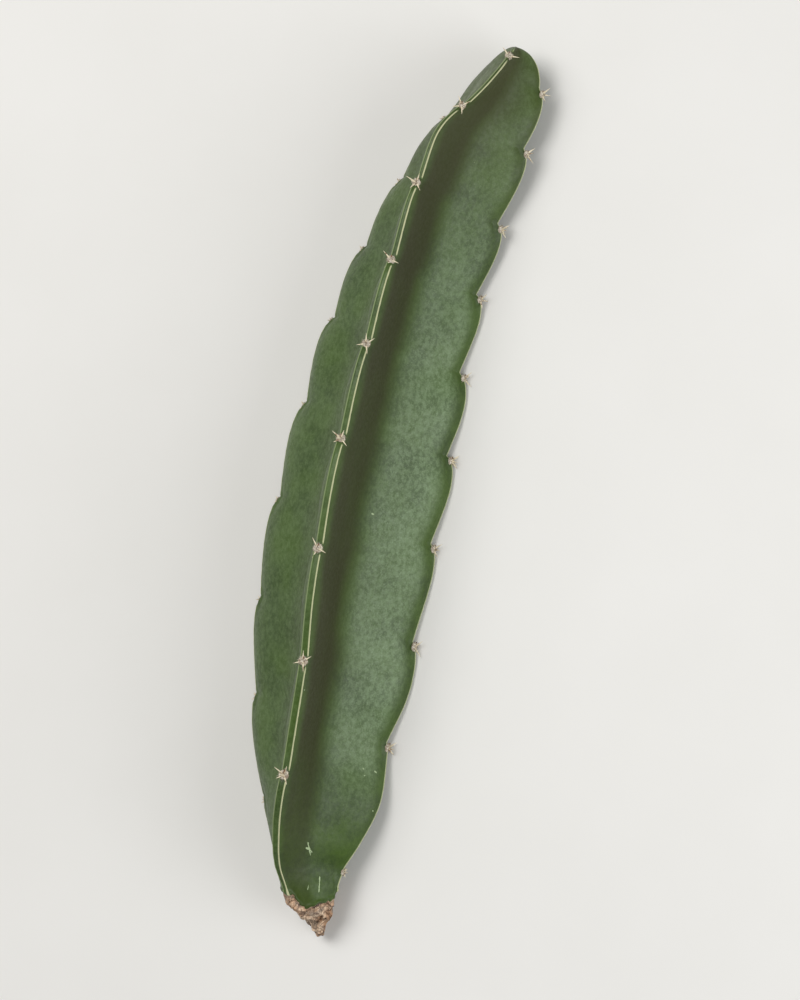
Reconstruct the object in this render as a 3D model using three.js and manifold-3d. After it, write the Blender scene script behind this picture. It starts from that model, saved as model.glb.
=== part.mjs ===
// A dragon fruit cutting: a length of the three-winged green stem of a climbing cactus, laid down on
// its two lower ribs. Millimetres. +Y runs from the cut end to the growing tip, +X to the right rib
// and +Z up, and the origin is the middle of the bottom of the whole cutting's box.
//
// The stem grew as one piece, so it is one solid. Its section is a three-pointed star whose size,
// place and roll change along the stem. The edge of each rib is scalloped, and in every notch of it
// sits an areole: a woolly pad with a few short spines, each a small solid of its own.

import * as THREE from "three";
import { mergeVertices } from "three/addons/utils/BufferGeometryUtils.js";
import Module from "manifold-3d";

const wasm = await Module();
wasm.setup();

// ---- Driving dimensions ------------------------------------------------------------------------

const CUT_END = -134; // middle of the cut face, along the stem
const TIP = 141.5; // the growing tip

// The stem's build at a few places along it: where its middle is (across, height), how far its ribs
// reach from there, how far the star is rolled (degrees), how deep the scallops are, how full the
// valleys between the ribs are (share of the reach), and half the width of the top rib's flat crest.
const BUILD = [
  { along: -134, across: 12.0, height: 9.4, reach: 8.2, roll: 26, notch: 0.0, fill: 0.86, crest: 0.55 },
  { along: -127, across: 9.2, height: 10.8, reach: 10.6, roll: 20, notch: 0.0, fill: 0.68, crest: 0.7 },
  { along: -120, across: 6.6, height: 11.9, reach: 13.9, roll: 16, notch: 0.5, fill: 0.52, crest: 0.85 },
  { along: -110, across: 5.6, height: 13.3, reach: 19.0, roll: 12, notch: 1.0, fill: 0.4, crest: 1.0 },
  { along: -97, across: 4.4, height: 14.5, reach: 23.8, roll: 6, notch: 1.5, fill: 0.32, crest: 1.0 },
  { along: -82, across: 2.2, height: 14.1, reach: 25.8, roll: 1, notch: 2.0, fill: 0.28, crest: 1.0 },
  { along: -62, across: 1.4, height: 15.2, reach: 29.4, roll: -1, notch: 2.2, fill: 0.27, crest: 1.0 },
  { along: -36, across: -0.8, height: 16.4, reach: 31.2, roll: -1.5, notch: 2.2, fill: 0.27, crest: 0.95 },
  { along: -8, across: -1.6, height: 16.3, reach: 31.7, roll: -0.5, notch: 3.0, fill: 0.27, crest: 0.9 },
  { along: 20, across: -1.4, height: 15.5, reach: 30.5, roll: 0, notch: 3.3, fill: 0.28, crest: 0.85 },
  { along: 48, across: -0.8, height: 14.2, reach: 27.7, roll: 0, notch: 3.2, fill: 0.29, crest: 0.8 },
  { along: 74, across: 2.0, height: 13.8, reach: 25.1, roll: 3, notch: 3.0, fill: 0.3, crest: 0.7 },
  { along: 96, across: 6.0, height: 14.2, reach: 22.9, roll: 8, notch: 2.8, fill: 0.32, crest: 0.6 },
  { along: 112, across: 10.0, height: 13.9, reach: 20.5, roll: 12, notch: 2.4, fill: 0.35, crest: 0.55 },
  { along: 126, across: 15.0, height: 12.8, reach: 15.8, roll: 13, notch: 1.8, fill: 0.4, crest: 0.5 },
  { along: 141.5, across: 19.0, height: 12.0, reach: 12.0, roll: 14, notch: 0.6, fill: 0.5, crest: 0.45 },
];

// Each rib: the direction it points in with no roll (degrees from +X towards +Z), how much further it
// turns near the tip, how round its two flanks leave the edge (degrees), and where its areoles are
// along the stem, tip first.
const RIBS = [
  {
    name: "right",
    angle: -30,
    tipTurn: 0,
    crestShare: 0.6,
    flankBefore: 34,
    flankAfter: 40,
    areoles: [129, 110, 86, 63.5, 38.5, 12.5, -15.5, -46.5, -79, -119],
  },
  {
    name: "top",
    angle: 87,
    tipTurn: -22,
    crestShare: 1,
    flankBefore: 24,
    flankAfter: 28,
    areoles: [137, 118, 92, 67.5, 41, 11.5, -22, -56, -91],
  },
  {
    name: "left",
    angle: 210,
    tipTurn: 0,
    crestShare: 0.6,
    flankBefore: 38,
    flankAfter: 34,
    areoles: [117, 95, 72, 48, 20, -11, -43, -73, -104],
  },
];

const NOTCH_LEAD = 1.2; // the deepest point of a scallop is this far above its areole
const NOTCH_BEYOND = 22; // spacing to the notches past the last areole at both ends
const BULGE_SKEW = 0.58; // under 1 moves a scallop's fullest point up towards its upper areole
const FLANK_SWELL = 0.35; // how much rounder a flank is between areoles than beside one
const FLANK_HANDLE = 0.28; // length of the flank curve's handles, share of the reach

const TURN_FROM = 106; // a rib's extra turn near the tip starts here
const TURN_TO = 140; // and is complete here
const DOME_FROM = 125; // the tip rounds off from here

// The cut is steep and uneven. These are bearings round the stem (degrees from +X towards +Z), and
// how much nearer the tip its rim is there than the middle of the cut end.
const CUT_RIM = [
  { bearing: 0, rise: 4.2 },
  { bearing: 20, rise: 6 },
  { bearing: 45, rise: 5.5 },
  { bearing: 65, rise: 3.5 },
  { bearing: 85, rise: 1.2 },
  { bearing: 180, rise: 1.5 },
  { bearing: 236, rise: -1 },
  { bearing: 270, rise: -5.4 },
  { bearing: 305, rise: -8.4 },
  { bearing: 332, rise: -7.4 },
  { bearing: 348, rise: -1 },
  { bearing: 360, rise: 4.2 },
];
const NECK_TO = -112; // the slant of the cut has died away by here
const HEART = { across: 15, along: -136.5, height: 7.5 }; // middle of the woody core on the cut face
const CORE_SHARE = 0.5; // size of the core, share of the cut face
const CORE_PROUD = 0.9; // how far it stands out

const STATION_STEP = 4; // spacing of the stem's sections
const DOME_STATIONS = 7; // sections in the rounded tip
const FLANK_STEPS = 6; // points on each flank, edge to valley

const PAD_RADIUS_YOUNG = 1.5; // woolly pad nearest the tip
const PAD_RADIUS_OLD = 1.9; // woolly pad nearest the cut end
const PAD_THICKNESS_SHARE = 0.62; // pad half-thickness over its radius
const PAD_STANDS_OUT = 0.3; // how far the pad's middle is out from the rib's edge, share of its radius
const PAD_SIDES = 8;
const PAD_ROWS = 5;
const SPINE_LENGTH = 2.9;
const SPINE_BASE_RADIUS = 0.42;
const SPINE_SIDES = 5;
const SEAT_GAP = 0.35; // room between a pad and the stem under it
const FLOOR_GAP = 0.4; // pads and spines stay this far above the resting surface

// ---- Curves along the stem ---------------------------------------------------------------------

const degrees = THREE.MathUtils.degToRad;
const blend = THREE.MathUtils.lerp;

// The value of one BUILD column at a place along the stem: a cubic through the column's values,
// whose slope at each is the slope between its two neighbours.
function buildAt(column, along) {
  const last = BUILD.length - 1;
  let here = 0;
  while (here < last - 1 && along > BUILD[here + 1].along) {
    here += 1;
  }
  const slopeAt = (i) => {
    const before = BUILD[Math.max(i - 1, 0)];
    const after = BUILD[Math.min(i + 1, last)];
    return (after[column] - before[column]) / (after.along - before.along);
  };
  const start = BUILD[here];
  const end = BUILD[here + 1];
  const span = end.along - start.along;
  const t = THREE.MathUtils.clamp((along - start.along) / span, 0, 1);
  const rise = t * t * (3 - 2 * t);
  const startTurn = t * (1 - t) * (1 - t) * span * slopeAt(here);
  const endTurn = t * t * (t - 1) * span * slopeAt(here + 1);
  return blend(start[column], end[column], rise) + startTurn + endTurn;
}

// Where a place is between two notches of a rib's edge: 0 at the upper notch, 1 at the lower one.
function betweenNotches(rib, along) {
  const marks = [rib.areoles[0] + NOTCH_BEYOND, ...rib.areoles, rib.areoles.at(-1) - NOTCH_BEYOND];
  const lower = marks.findIndex((mark) => mark + NOTCH_LEAD < along);
  if (lower < 1) {
    return 0;
  }
  const upperNotch = marks[lower - 1] + NOTCH_LEAD;
  return (upperNotch - along) / (marks[lower - 1] - marks[lower]);
}

// Share of the full reach that is left in the rounded tip.
function domeShare(along) {
  const t = THREE.MathUtils.clamp((along - DOME_FROM) / (TIP - DOME_FROM), 0, 1);
  return Math.sqrt(1 - t * t);
}

function middleAt(along) {
  return new THREE.Vector2(buildAt("across", along), buildAt("height", along));
}

// A rib at one place along the stem: its direction, the direction square to it (towards the next
// rib), its reach, how far it would reach with no scallops, half the width of its crest, and how
// plump its flanks are (0 beside a notch, 1 half-way between two).
function ribAt(rib, along) {
  const turn = rib.tipTurn * THREE.MathUtils.smoothstep(along, TURN_FROM, TURN_TO);
  const angle = degrees(rib.angle + buildAt("roll", along) + turn);
  const between = betweenNotches(rib, along);
  const scallop = Math.sin(Math.PI * between ** BULGE_SKEW);
  const fullReach = buildAt("reach", along);
  const reach = fullReach - buildAt("notch", along) * (1 - scallop);
  return {
    out: new THREE.Vector2(Math.cos(angle), Math.sin(angle)),
    side: new THREE.Vector2(-Math.sin(angle), Math.cos(angle)),
    reach: reach * domeShare(along),
    fullReach: fullReach * domeShare(along),
    half: buildAt("crest", along) * rib.crestShare * domeShare(along),
    plump: Math.sin(Math.PI * between) ** 2,
  };
}

// How much nearer the tip the rim of the cut is at a bearing (radians): eased between CUT_RIM's places.
function rimRise(bearing) {
  const after = CUT_RIM.findIndex((place) => degrees(place.bearing) > bearing);
  const start = CUT_RIM[after - 1];
  const end = CUT_RIM[after];
  const t = THREE.MathUtils.smoothstep(bearing, degrees(start.bearing), degrees(end.bearing));
  return blend(start.rise, end.rise, t);
}

// ---- The stem ----------------------------------------------------------------------------------

// One flank from a rib's edge to the valley. `towards` is 1 for the flank on the side of the next
// rib and -1 for the other one. Only the edge follows the scallops, so the flank itself stays smooth.
function flankCurve(middle, rib, roundness, towards, valley, valleyWay) {
  const handle = FLANK_HANDLE * rib.fullReach;
  const swollen = degrees(roundness) * (1 + FLANK_SWELL * (rib.plump - 0.5));
  const edge = middle
    .clone()
    .addScaledVector(rib.out, rib.reach)
    .addScaledVector(rib.side, towards * rib.half);
  const leaveEdge = middle
    .clone()
    .addScaledVector(rib.out, rib.fullReach - handle * Math.cos(swollen))
    .addScaledVector(rib.side, towards * (rib.half + handle * Math.sin(swollen)));
  const reachValley = valley.clone().addScaledVector(valleyWay, -towards * handle);
  return new THREE.CubicBezierCurve(edge, leaveEdge, reachValley, valley);
}

// The stem's outline at one place, as points in the XZ plane going round from +X to +Z.
function outlineAt(along) {
  const middle = middleAt(along);
  const ribs = RIBS.map((rib) => ribAt(rib, along));
  const points = [];
  RIBS.forEach((rib, i) => {
    const next = (i + 1) % RIBS.length;
    const valleyOut = ribs[i].out.clone().add(ribs[next].out).normalize();
    const valleyWay = new THREE.Vector2(-valleyOut.y, valleyOut.x);
    const depth = buildAt("fill", along) * buildAt("reach", along) * domeShare(along);
    const valley = middle.clone().addScaledVector(valleyOut, depth);
    const down = flankCurve(middle, ribs[i], rib.flankAfter, 1, valley, valleyWay);
    const up = flankCurve(middle, ribs[next], RIBS[next].flankBefore, -1, valley, valleyWay);
    const downPoints = down.getPoints(FLANK_STEPS);
    const upPoints = up.getPoints(FLANK_STEPS).reverse();
    points.push(...downPoints, ...upPoints.slice(1));
  });
  return points;
}

// Moves every point of a closed outline outwards, square to the line through its two neighbours.
function grownOutline(points, grow) {
  return points.map((point, i) => {
    const before = points.at(i - 1);
    const after = points[(i + 1) % points.length];
    const way = after.clone().sub(before).normalize();
    return point.clone().add(new THREE.Vector2(way.y, -way.x).multiplyScalar(grow));
  });
}

// Where the sections are: evenly spaced up to the rounded tip, then closer and closer.
function sectionPlaces() {
  const even = Math.round((DOME_FROM - CUT_END) / STATION_STEP);
  const places = [];
  for (let i = 0; i < even; i += 1) {
    places.push(blend(CUT_END, DOME_FROM, i / even));
  }
  for (let i = 0; i < DOME_STATIONS; i += 1) {
    places.push(blend(DOME_FROM, TIP, Math.sin((Math.PI / 2) * (i / DOME_STATIONS))));
  }
  return places;
}

// How far along a point of the section at `along` is: near the cut end the sections lean and bend
// until the last one lies in the uneven rim of the cut.
function slanted(along, point) {
  const fade = 1 - THREE.MathUtils.smoothstep(along, CUT_END, NECK_TO);
  const arm = point.clone().sub(middleAt(along));
  const share = arm.length() / buildAt("reach", along);
  return along + fade * share * rimRise(arm.angle());
}

// The whole stem as one closed surface: a skin of sections, a pole at the tip, and the cut face.
function stemGeometry(grow) {
  const places = sectionPlaces();
  const positions = [];
  const faces = [];
  const addPoint = (across, along, height) => {
    positions.push(across, along, height);
    return positions.length / 3 - 1;
  };

  const rings = places.map((along) => {
    const outline = grownOutline(outlineAt(along), grow);
    return outline.map((point) => addPoint(point.x, slanted(along, point), point.y));
  });
  const joinRings = (lower, upper) => {
    lower.forEach((corner, i) => {
      const next = (i + 1) % lower.length;
      faces.push(corner, upper[i], upper[next], corner, upper[next], lower[next]);
    });
  };
  for (let i = 0; i + 1 < rings.length; i += 1) {
    joinRings(rings[i], rings[i + 1]);
  }

  const tipMiddle = middleAt(TIP);
  const tip = addPoint(tipMiddle.x, TIP + grow, tipMiddle.y);
  const last = rings.at(-1);
  last.forEach((corner, i) => faces.push(corner, tip, last[(i + 1) % last.length]));

  const core = outlineAt(CUT_END).map((point) => {
    const across = blend(HEART.across, point.x, CORE_SHARE);
    const along = blend(HEART.along, slanted(CUT_END, point), CORE_SHARE);
    const height = blend(HEART.height, point.y, CORE_SHARE);
    return addPoint(across, along - CORE_PROUD - grow, height);
  });
  joinRings(core, rings[0]);
  const heart = addPoint(HEART.across, HEART.along - CORE_PROUD - grow, HEART.height);
  core.forEach((corner, i) => faces.push(heart, corner, core[(i + 1) % core.length]));

  const geometry = new THREE.BufferGeometry();
  geometry.setAttribute("position", new THREE.Float32BufferAttribute(positions, 3));
  geometry.setIndex(faces);
  geometry.computeVertexNormals();
  return geometry;
}

// ---- Joining and cutting -----------------------------------------------------------------------

function solidFrom(geometry) {
  const bare = geometry.clone();
  bare.deleteAttribute("normal");
  bare.deleteAttribute("uv");
  const merged = mergeVertices(bare, 1e-4);
  const vertProperties = new Float32Array(merged.attributes.position.array);
  const triVerts = new Uint32Array(merged.index.array);
  return new wasm.Manifold(new wasm.Mesh({ numProp: 3, vertProperties, triVerts }));
}

function geometryFrom(solid) {
  const mesh = solid.getMesh();
  const geometry = new THREE.BufferGeometry();
  geometry.setAttribute("position", new THREE.BufferAttribute(mesh.vertProperties, 3));
  geometry.setIndex(new THREE.BufferAttribute(mesh.triVerts, 1));
  geometry.computeVertexNormals();
  return geometry;
}

// ---- The spine clusters ------------------------------------------------------------------------

// How a cluster's spines stand: each leans away from the pad's axis by `lean`, towards `round`
// (degrees, from along the stem to across it), and has its own share of the full length.
const SPINE_STARS = [
  [
    { lean: 62, round: 40, share: 1 },
    { lean: 70, round: 160, share: 0.85 },
    { lean: 66, round: 265, share: 0.95 },
  ],
  [
    { lean: 58, round: 15, share: 0.9 },
    { lean: 68, round: 105, share: 0.75 },
    { lean: 60, round: 200, share: 1 },
    { lean: 72, round: 300, share: 0.8 },
  ],
  [
    { lean: 64, round: 65, share: 1 },
    { lean: 55, round: 140, share: 0.7 },
    { lean: 70, round: 225, share: 0.9 },
    { lean: 60, round: 335, share: 0.85 },
    { lean: 20, round: 90, share: 0.6 },
  ],
];

// One spine: a slim cone from inside the pad outwards.
function spineGeometry(root, way, length) {
  const cone = new THREE.ConeGeometry(SPINE_BASE_RADIUS, length, SPINE_SIDES);
  cone.translate(0, length / 2, 0);
  const turn = new THREE.Quaternion().setFromUnitVectors(new THREE.Vector3(0, 1, 0), way);
  cone.applyQuaternion(turn);
  cone.translate(root.x, root.y, root.z);
  return cone;
}

// A woolly pad seated in its notch with its star of spines. Its seat is cut to the stem's shape, and
// only the outer piece is kept where the thin edge of a lower rib cuts right through the pad.
function clusterGeometry(rib, index, floor, seat) {
  const along = rib.areoles[index];
  const place = ribAt(rib, along);
  const age = THREE.MathUtils.inverseLerp(TIP, CUT_END, along);
  const radius = blend(PAD_RADIUS_YOUNG, PAD_RADIUS_OLD, age);
  const crest = middleAt(along).addScaledVector(place.out, place.reach);
  const isLower = place.out.y < 0;
  const lift = Math.max(0, floor + FLOOR_GAP + radius - crest.y);

  const axis = new THREE.Vector3(place.out.x, 0, isLower ? 0 : place.out.y).normalize();
  const centre = new THREE.Vector3(crest.x, along, crest.y + lift);
  centre.addScaledVector(axis, PAD_STANDS_OUT * radius);
  const stemWay = new THREE.Vector3(0, 1, 0);
  const across = new THREE.Vector3().crossVectors(axis, stemWay);
  const frame = new THREE.Matrix4().makeBasis(stemWay, across, axis).setPosition(centre);

  const pad = new THREE.SphereGeometry(radius, PAD_SIDES, PAD_ROWS);
  pad.rotateX(Math.PI / 2);
  pad.scale(1, 0.9, PAD_THICKNESS_SHARE);
  pad.applyMatrix4(frame);

  const star = SPINE_STARS[index % SPINE_STARS.length];
  let cluster = solidFrom(pad);
  star.forEach(({ lean, round, share }) => {
    const spread = Math.sin(degrees(lean));
    const way = new THREE.Vector3(
      spread * Math.cos(degrees(round)),
      spread * Math.sin(degrees(round)),
      Math.cos(degrees(lean)),
    ).transformDirection(frame);
    if (isLower) {
      way.setZ(Math.abs(way.z)).normalize();
    }
    cluster = cluster.add(solidFrom(spineGeometry(centre, way, radius * 0.5 + SPINE_LENGTH * share)));
  });
  const seated = cluster.subtract(seat).decompose();
  seated.sort((one, other) => other.volume() - one.volume());
  return geometryFrom(seated[0]);
}

// ---- The cutting -------------------------------------------------------------------------------

const stemSkin = new THREE.MeshStandardMaterial({ color: 0x45602a, roughness: 0.5, metalness: 0 });
const spineWool = new THREE.MeshStandardMaterial({ color: 0xc4baa6, roughness: 0.85, metalness: 0 });

const cutting = new THREE.Group();

const stem = new THREE.Mesh(stemGeometry(0), stemSkin);
stem.name = "stem";
cutting.add(stem);

const floor = new THREE.Box3().setFromObject(stem).min.z;
const seat = solidFrom(stemGeometry(SEAT_GAP));
RIBS.forEach((rib) => {
  rib.areoles.forEach((along, index) => {
    const cluster = new THREE.Mesh(clusterGeometry(rib, index, floor, seat), spineWool);
    cluster.name = `spine_cluster_${rib.name}_${String(index + 1).padStart(2, "0")}`;
    cutting.add(cluster);
  });
});

const box = new THREE.Box3().setFromObject(cutting);
const middle = box.getCenter(new THREE.Vector3());
cutting.position.set(-middle.x, -middle.y, -box.min.z);

export default cutting;
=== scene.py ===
# %% [markdown]
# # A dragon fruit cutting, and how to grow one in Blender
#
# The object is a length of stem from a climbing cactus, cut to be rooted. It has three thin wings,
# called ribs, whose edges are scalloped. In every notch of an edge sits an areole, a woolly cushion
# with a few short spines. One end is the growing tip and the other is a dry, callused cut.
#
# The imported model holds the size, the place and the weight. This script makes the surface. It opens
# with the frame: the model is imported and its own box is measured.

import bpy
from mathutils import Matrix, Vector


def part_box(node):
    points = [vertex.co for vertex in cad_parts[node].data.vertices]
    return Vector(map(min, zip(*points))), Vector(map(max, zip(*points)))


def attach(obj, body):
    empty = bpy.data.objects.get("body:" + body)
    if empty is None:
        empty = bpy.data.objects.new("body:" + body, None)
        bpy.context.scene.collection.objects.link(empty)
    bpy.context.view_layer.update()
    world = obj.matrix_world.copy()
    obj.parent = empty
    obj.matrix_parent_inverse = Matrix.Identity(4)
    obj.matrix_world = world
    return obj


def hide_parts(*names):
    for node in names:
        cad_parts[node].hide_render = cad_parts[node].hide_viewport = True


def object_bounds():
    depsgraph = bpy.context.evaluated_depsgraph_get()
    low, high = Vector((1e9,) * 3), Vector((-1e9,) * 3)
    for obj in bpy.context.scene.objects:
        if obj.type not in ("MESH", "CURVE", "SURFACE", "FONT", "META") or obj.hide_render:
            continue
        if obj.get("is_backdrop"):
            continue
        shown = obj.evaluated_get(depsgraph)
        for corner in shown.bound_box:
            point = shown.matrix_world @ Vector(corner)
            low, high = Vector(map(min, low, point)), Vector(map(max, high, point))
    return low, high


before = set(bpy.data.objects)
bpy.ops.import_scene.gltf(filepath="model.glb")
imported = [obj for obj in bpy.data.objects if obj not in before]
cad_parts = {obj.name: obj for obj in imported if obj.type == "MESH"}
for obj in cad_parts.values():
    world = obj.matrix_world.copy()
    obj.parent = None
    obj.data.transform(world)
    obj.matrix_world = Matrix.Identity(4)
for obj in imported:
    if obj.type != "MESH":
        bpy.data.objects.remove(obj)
cad_box = [list(corner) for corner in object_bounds()]

import math

import bpy
import numpy as np
from mathutils import Matrix, Vector
from mathutils.bvhtree import BVHTree

MM = 0.001
print("model box, mm:", [[round(v / MM, 1) for v in corner] for corner in cad_box])

# %% [markdown]
# ## The camera
#
# A long thin thing is best seen from far off with a long lens, so that neither end looks larger.
# The camera looks almost straight down. It leans a little towards the right rib, which opens the
# broad face between the top rib and the right one, and it is rolled so that the stem rises to the
# upper right. A camera is placed by its three directions: right, up, and back towards the lens.

# %% Place the camera
CAMERA_LEAN = math.radians(14.0)
CAMERA_ROLL = math.radians(12.3)
CAMERA_DISTANCE = 0.900
VIEW_HEIGHT = 0.3063
SENSOR = 36.0
LOOK_AT = Vector((0.0153, -0.0029, 0.0205))

camera_back = Vector((math.sin(CAMERA_LEAN), 0, math.cos(CAMERA_LEAN)))
level = Vector((math.cos(CAMERA_LEAN), 0, -math.sin(CAMERA_LEAN)))
stem_way = Vector((0, 1, 0))
camera_right = level * math.cos(CAMERA_ROLL) + stem_way * math.sin(CAMERA_ROLL)
camera_up = stem_way * math.cos(CAMERA_ROLL) - level * math.sin(CAMERA_ROLL)

camera_data = bpy.data.cameras.new("camera")
camera_data.sensor_fit = "VERTICAL"
camera_data.sensor_width = SENSOR
camera_data.sensor_height = SENSOR
camera_data.lens = SENSOR * CAMERA_DISTANCE / VIEW_HEIGHT
camera = bpy.data.objects.new("camera", camera_data)
turn = Matrix((camera_right, camera_up, camera_back)).transposed()
camera.matrix_world = Matrix.Translation(LOOK_AT + camera_back * CAMERA_DISTANCE) @ turn.to_4x4()
bpy.context.collection.objects.link(camera)
bpy.context.scene.camera = camera
print("lens, mm:", round(camera_data.lens, 1))

# %% [markdown]
# ## The stem's plan
#
# The stem could be sculpted by hand, but its form is regular enough to be written down. Its section
# is a three-pointed star, and a few rows say how that star changes along the stem: where its middle
# is, how far the ribs reach, how far it is rolled, how deep the scallops are, how full the valleys
# are and how wide the top rib's flat crest is. These are the model's own driving sizes, in
# millimetres and degrees, so the fine surface made from them lies on the coarse one.

# %% The driving sizes
CUT_END = -134.0
TIP = 141.5
COLUMNS = ("along", "across", "height", "reach", "roll", "notch", "fill", "crest")
ROWS = np.array(
    [
        (-134, 12.0, 9.4, 8.2, 26, 0.0, 0.86, 0.55),
        (-127, 9.2, 10.8, 10.6, 20, 0.0, 0.68, 0.7),
        (-120, 6.6, 11.9, 13.9, 16, 0.5, 0.52, 0.85),
        (-110, 5.6, 13.3, 19.0, 12, 1.0, 0.4, 1.0),
        (-97, 4.4, 14.5, 23.8, 6, 1.5, 0.32, 1.0),
        (-82, 2.2, 14.1, 25.8, 1, 2.0, 0.28, 1.0),
        (-62, 1.4, 15.2, 29.4, -1, 2.2, 0.27, 1.0),
        (-36, -0.8, 16.4, 31.2, -1.5, 2.2, 0.27, 0.95),
        (-8, -1.6, 16.3, 31.7, -0.5, 3.0, 0.27, 0.9),
        (20, -1.4, 15.5, 30.5, 0, 3.3, 0.28, 0.85),
        (48, -0.8, 14.2, 27.7, 0, 3.2, 0.29, 0.8),
        (74, 2.0, 13.8, 25.1, 3, 3.0, 0.3, 0.7),
        (96, 6.0, 14.2, 22.9, 8, 2.8, 0.32, 0.6),
        (112, 10.0, 13.9, 20.5, 12, 2.4, 0.35, 0.55),
        (126, 15.0, 12.8, 15.8, 13, 1.8, 0.4, 0.5),
        (141.5, 19.0, 12.0, 12.0, 14, 0.6, 0.5, 0.45),
    ],
    dtype=float,
)
PLAN = dict(zip(COLUMNS, ROWS.T))

RIB_SIZES = ("name", "angle", "tip_turn", "crest_share", "flank_before", "flank_after", "areoles")
RIB_ROWS = [
    ("right", -30, 0, 0.6, 34, 40, [129, 110, 86, 63.5, 38.5, 12.5, -15.5, -46.5, -79, -119]),
    ("top", 87, -22, 1, 24, 28, [137, 118, 92, 67.5, 41, 11.5, -22, -56, -91]),
    ("left", 210, 0, 0.6, 38, 34, [117, 95, 72, 48, 20, -11, -43, -73, -104]),
]
RIBS = [dict(zip(RIB_SIZES, row)) for row in RIB_ROWS]
NOTCH_LEAD = 1.2
NOTCH_BEYOND = 22.0
BULGE_SKEW = 0.58
FLANK_SWELL = 0.35
FLANK_HANDLE = 0.28
TURN_FROM = 106.0
TURN_TO = 140.0
DOME_FROM = 125.0
print("ribs:", [(rib["name"], len(rib["areoles"])) for rib in RIBS])

# %% [markdown]
# Between two rows each size follows a cubic curve, so that nothing kinks. Every helper here works on
# a whole array of places at once: NumPy then makes hundreds of sections as fast as one.

# %% Read the plan at any place
def plan_at(column, along):
    """One driving size at any places along the stem."""
    places = PLAN["along"]
    values = PLAN[column]
    before = np.maximum(np.arange(len(places)) - 1, 0)
    after = np.minimum(np.arange(len(places)) + 1, len(places) - 1)
    slopes = (values[after] - values[before]) / (places[after] - places[before])
    here = np.searchsorted(places[1:-1], along, side="left")
    span = places[here + 1] - places[here]
    t = np.clip((along - places[here]) / span, 0, 1)
    rise = t * t * (3 - 2 * t)
    start_turn = t * (1 - t) ** 2 * span * slopes[here]
    end_turn = t * t * (t - 1) * span * slopes[here + 1]
    return values[here] * (1 - rise) + values[here + 1] * rise + start_turn + end_turn


def smooth_step(value, low, high):
    """0 below `low`, 1 above `high`, and eased in between."""
    t = np.clip((value - low) / (high - low), 0, 1)
    return t * t * (3 - 2 * t)


def between_notches(rib, along):
    """0 at the upper notch of a scallop, 1 at the lower one."""
    areoles = rib["areoles"]
    marks = np.array([areoles[0] + NOTCH_BEYOND, *areoles, areoles[-1] - NOTCH_BEYOND])
    lower = (marks[:, None] + NOTCH_LEAD >= along[None, :]).sum(axis=0)
    inside = (lower > 0) & (lower < len(marks))
    lower = np.clip(lower, 1, len(marks) - 1)
    t = (marks[lower - 1] + NOTCH_LEAD - along) / (marks[lower - 1] - marks[lower])
    return np.where(inside, np.clip(t, 0, 1), 0)


def dome_share(along):
    """1 along the stem, falling to 0 round the tip, as a quarter of an ellipse does."""
    t = np.clip((along - DOME_FROM) / (TIP - DOME_FROM), 0, 1)
    return np.sqrt(1 - t * t)


def middle_at(along):
    return np.stack([plan_at("across", along), plan_at("height", along)], axis=-1)


def rib_at(rib, along):
    """A rib at these places: its directions, how far it reaches, and how plump its flesh is."""
    turn = rib["tip_turn"] * smooth_step(along, TURN_FROM, TURN_TO)
    angle = np.radians(rib["angle"] + plan_at("roll", along) + turn)
    between = between_notches(rib, along)
    scallop = np.sin(np.pi * between**BULGE_SKEW)
    dome = dome_share(along)
    full_reach = plan_at("reach", along)
    reach = full_reach - plan_at("notch", along) * (1 - scallop)
    return {
        "out": np.stack([np.cos(angle), np.sin(angle)], axis=-1),
        "side": np.stack([-np.sin(angle), np.cos(angle)], axis=-1),
        "reach": (reach * dome)[:, None],
        "full_reach": (full_reach * dome)[:, None],
        "half": (plan_at("crest", along) * rib["crest_share"] * dome)[:, None],
        "plump": (np.sin(np.pi * between) ** 2)[:, None],
    }


print("reach in the middle, mm:", plan_at("reach", np.array([0.0])).round(2))

# %% [markdown]
# ## The stem's outline
#
# Each rib's flank is a Bezier curve from the edge down to the valley. It leaves the edge at an angle,
# which makes the flesh swell behind the thin margin, and arrives level in the valley. Only the edge
# itself follows the scallops; the flank behind it swells gently between areoles and pinches in
# beside one. The points crowd together near the edge, because the finest detail goes there.

# %% Make the sections
CREST_POINTS = 14
FLANK_POINTS = 23
EDGE_CROWDING = 1.7
flank_t = (np.arange(FLANK_POINTS) + 1) / FLANK_POINTS
flank_t = flank_t**EDGE_CROWDING


def bezier(a, b, c, d, t):
    """Points on one cubic curve for each place along the stem."""
    t = t[None, :, None]
    a, b, c, d = (corner[:, None, :] for corner in (a, b, c, d))
    return a * (1 - t) ** 3 + 3 * b * t * (1 - t) ** 2 + 3 * c * t**2 * (1 - t) + d * t**3


def flank(middle, rib, roundness, towards, valley, valley_way, t):
    """One side of a rib, on the side that `towards` gives: 1 after the crest, -1 before it."""
    handle = FLANK_HANDLE * rib["full_reach"]
    swollen = np.radians(roundness) * (1 + FLANK_SWELL * (rib["plump"] - 0.5))
    edge = middle + rib["out"] * rib["reach"] + rib["side"] * towards * rib["half"]
    leave = middle + rib["out"] * (rib["full_reach"] - handle * np.cos(swollen))
    leave += rib["side"] * towards * (rib["half"] + handle * np.sin(swollen))
    arrive = valley - valley_way * towards * handle
    return bezier(edge, leave, arrive, valley, t)


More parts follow.
